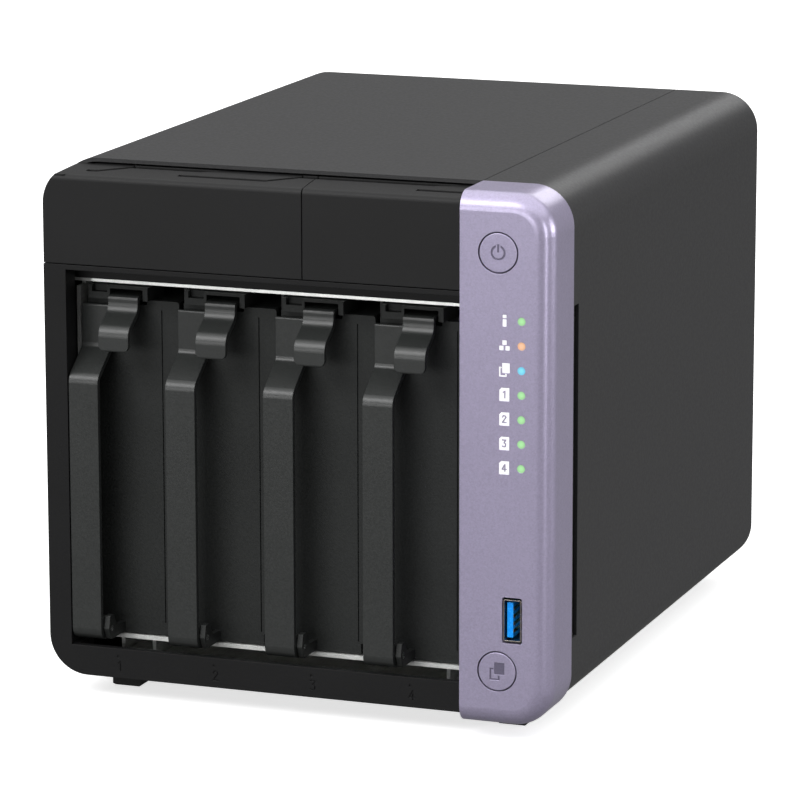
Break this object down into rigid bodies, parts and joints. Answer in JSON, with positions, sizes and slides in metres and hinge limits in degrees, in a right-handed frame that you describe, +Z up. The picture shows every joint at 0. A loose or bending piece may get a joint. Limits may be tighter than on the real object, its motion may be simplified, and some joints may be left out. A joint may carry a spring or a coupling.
{
  "type": "network attached storage",
  "caption": "Desktop network storage box with front drive trays on pull levers, a proud control panel with buttons and lights, a rear fan and rear ports.",
  "frame": {"origin": "under the middle of the unit, on the surface its feet stand on", "axes": "+X to the right of a person facing the front, +Y from the front to the rear, +Z up"},
  "size_m": [0.17, 0.2234, 0.1713],
  "materials": {
    "cover": "fine black powder coat",
    "bezel": "fine moulded texture, black",
    "cap": "fine moulded texture, black",
    "panel": "lavender metallic paint on moulded plastic",
    "button": "lavender metallic paint on moulded plastic",
    "ink": "white printed ink",
    "light_green": "diffusing light pipe, green",
    "light_orange": "diffusing light pipe, orange",
    "light_blue": "diffusing light pipe, blue",
    "board": "solder mask on laminate",
    "port_shell": "bright nickel plate",
    "port_blue": "moulded blue plastic",
    "connector": "moulded black plastic",
    "steel": "zinc-plated sheet steel",
    "tray": "fine moulded texture, black",
    "lever": "fine moulded texture, dark grey",
    "pin": "ground steel",
    "drive": "cast and machined aluminium",
    "rear_steel": "black powder coat",
    "guard_wire": "black dipped wire",
    "fan": "moulded black plastic",
    "screw": "black oxide",
    "brass_post": "turned brass",
    "chip": "moulded package",
    "heatsink": "extruded, clear anodised",
    "cell": "stainless can",
    "foot": "moulded rubber"
  },
  "bodies": {
    "case": {"top_cover": "cover", "side_cover": "cover", "front_bezel": "bezel", "left_cap": "cap", "right_cap": "cap", "control_panel": "panel", "panel_icons": "ink", "light_pipes_green": "light_green", "light_pipe_orange": "light_orange", "light_pipe_blue": "light_blue", "front_board": "board", "front_usb_shell": "port_shell", "front_usb_tongue": "port_blue", "drive_cage": "steel", "chassis_base": "steel", "tray_guides": "connector", "backplane": "board", "drive_sockets": "connector", "rear_panel": "rear_steel", "fan_guard": "guard_wire", "fan_frame": "fan", "fan_screws": "screw", "case_screws": "screw", "mainboard": "board", "board_standoffs": "brass_post", "processor": "chip", "heatsink": "heatsink", "board_sockets": "connector", "memory_module": "board", "clock_battery": "cell", "network_ports": "port_shell", "fibre_cage": "port_shell", "rear_usb_shells": "port_shell", "rear_usb_tongues": "port_blue", "power_inlet": "connector", "rubber_feet": "foot"},
    "tray_body_1": {"tray_1": "tray", "tray_pins_1": "pin", "hard_drive_1": "drive"},
    "lever_body_1": {"lever_1": "lever"},
    "latch_body_1": {"latch_1": "lever"},
    "tray_body_2": {"tray_2": "tray", "tray_pins_2": "pin", "hard_drive_2": "drive"},
    "lever_body_2": {"lever_2": "lever"},
    "latch_body_2": {"latch_2": "lever"},
    "tray_body_3": {"tray_3": "tray", "tray_pins_3": "pin", "hard_drive_3": "drive"},
    "lever_body_3": {"lever_3": "lever"},
    "latch_body_3": {"latch_3": "lever"},
    "tray_body_4": {"tray_4": "tray", "tray_pins_4": "pin", "hard_drive_4": "drive"},
    "lever_body_4": {"lever_4": "lever"},
    "latch_body_4": {"latch_4": "lever"},
    "power_button_body": {"power_button": "button"},
    "copy_button_body": {"copy_button": "button"},
    "reset_button_body": {"reset_button": "connector"},
    "fan_rotor_body": {"fan_rotor": "fan"}
  },
  "joints": [
    {"name": "tray_slide_1", "type": "slide", "parent": "case", "child": "tray_body_1", "axis": [0, -1, 0], "range_m": [0, 0.15]},
    {"name": "lever_hinge_1", "type": "hinge", "parent": "tray_body_1", "child": "lever_body_1", "pos_m": [-0.07215, -0.10045, 0.0222], "axis": [1, 0, 0], "range_deg": [0, 60]},
    {"name": "latch_hinge_1", "type": "hinge", "parent": "tray_body_1", "child": "latch_body_1", "pos_m": [-0.06185, -0.0849, 0.1282], "axis": [-1, 0, 0], "range_deg": [0, 8], "stiffness_Nm_per_rad": 0.03, "springref_deg": -11.46},
    {"name": "tray_slide_2", "type": "slide", "parent": "case", "child": "tray_body_2", "axis": [0, -1, 0], "range_m": [0, 0.15]},
    {"name": "lever_hinge_2", "type": "hinge", "parent": "tray_body_2", "child": "lever_body_2", "pos_m": [-0.03928, -0.10045, 0.0222], "axis": [1, 0, 0], "range_deg": [0, 60]},
    {"name": "latch_hinge_2", "type": "hinge", "parent": "tray_body_2", "child": "latch_body_2", "pos_m": [-0.02898, -0.0849, 0.1282], "axis": [-1, 0, 0], "range_deg": [0, 8], "stiffness_Nm_per_rad": 0.03, "springref_deg": -11.46},
    {"name": "tray_slide_3", "type": "slide", "parent": "case", "child": "tray_body_3", "axis": [0, -1, 0], "range_m": [0, 0.15]},
    {"name": "lever_hinge_3", "type": "hinge", "parent": "tray_body_3", "child": "lever_body_3", "pos_m": [-0.00641, -0.10045, 0.0222], "axis": [1, 0, 0], "range_deg": [0, 60]},
    {"name": "latch_hinge_3", "type": "hinge", "parent": "tray_body_3", "child": "latch_body_3", "pos_m": [0.00389, -0.0849, 0.1282], "axis": [-1, 0, 0], "range_deg": [0, 8], "stiffness_Nm_per_rad": 0.03, "springref_deg": -11.46},
    {"name": "tray_slide_4", "type": "slide", "parent": "case", "child": "tray_body_4", "axis": [0, -1, 0], "range_m": [0, 0.15]},
    {"name": "lever_hinge_4", "type": "hinge", "parent": "tray_body_4", "child": "lever_body_4", "pos_m": [0.02646, -0.10045, 0.0222], "axis": [1, 0, 0], "range_deg": [0, 60]},
    {"name": "latch_hinge_4", "type": "hinge", "parent": "tray_body_4", "child": "latch_body_4", "pos_m": [0.03676, -0.0849, 0.1282], "axis": [-1, 0, 0], "range_deg": [0, 8], "stiffness_Nm_per_rad": 0.03, "springref_deg": -11.46},
    {"name": "power_button_press", "type": "slide", "parent": "case", "child": "power_button_body", "axis": [0, 1, 0], "range_m": [0, 0.0008], "stiffness_N_per_m": 800, "springref_m": -0.001},
    {"name": "copy_button_press", "type": "slide", "parent": "case", "child": "copy_button_body", "axis": [0, 1, 0], "range_m": [0, 0.0008], "stiffness_N_per_m": 800, "springref_m": -0.001},
    {"name": "reset_button_press", "type": "slide", "parent": "case", "child": "reset_button_body", "axis": [0, -1, 0], "range_m": [0, 0.0006], "stiffness_N_per_m": 500, "springref_m": -0.0006},
    {"name": "fan_spin", "type": "hinge", "parent": "case", "child": "fan_rotor_body", "pos_m": [-0.011, 0.09675, 0.089], "axis": [0, 1, 0], "continuous": true}
  ]
}
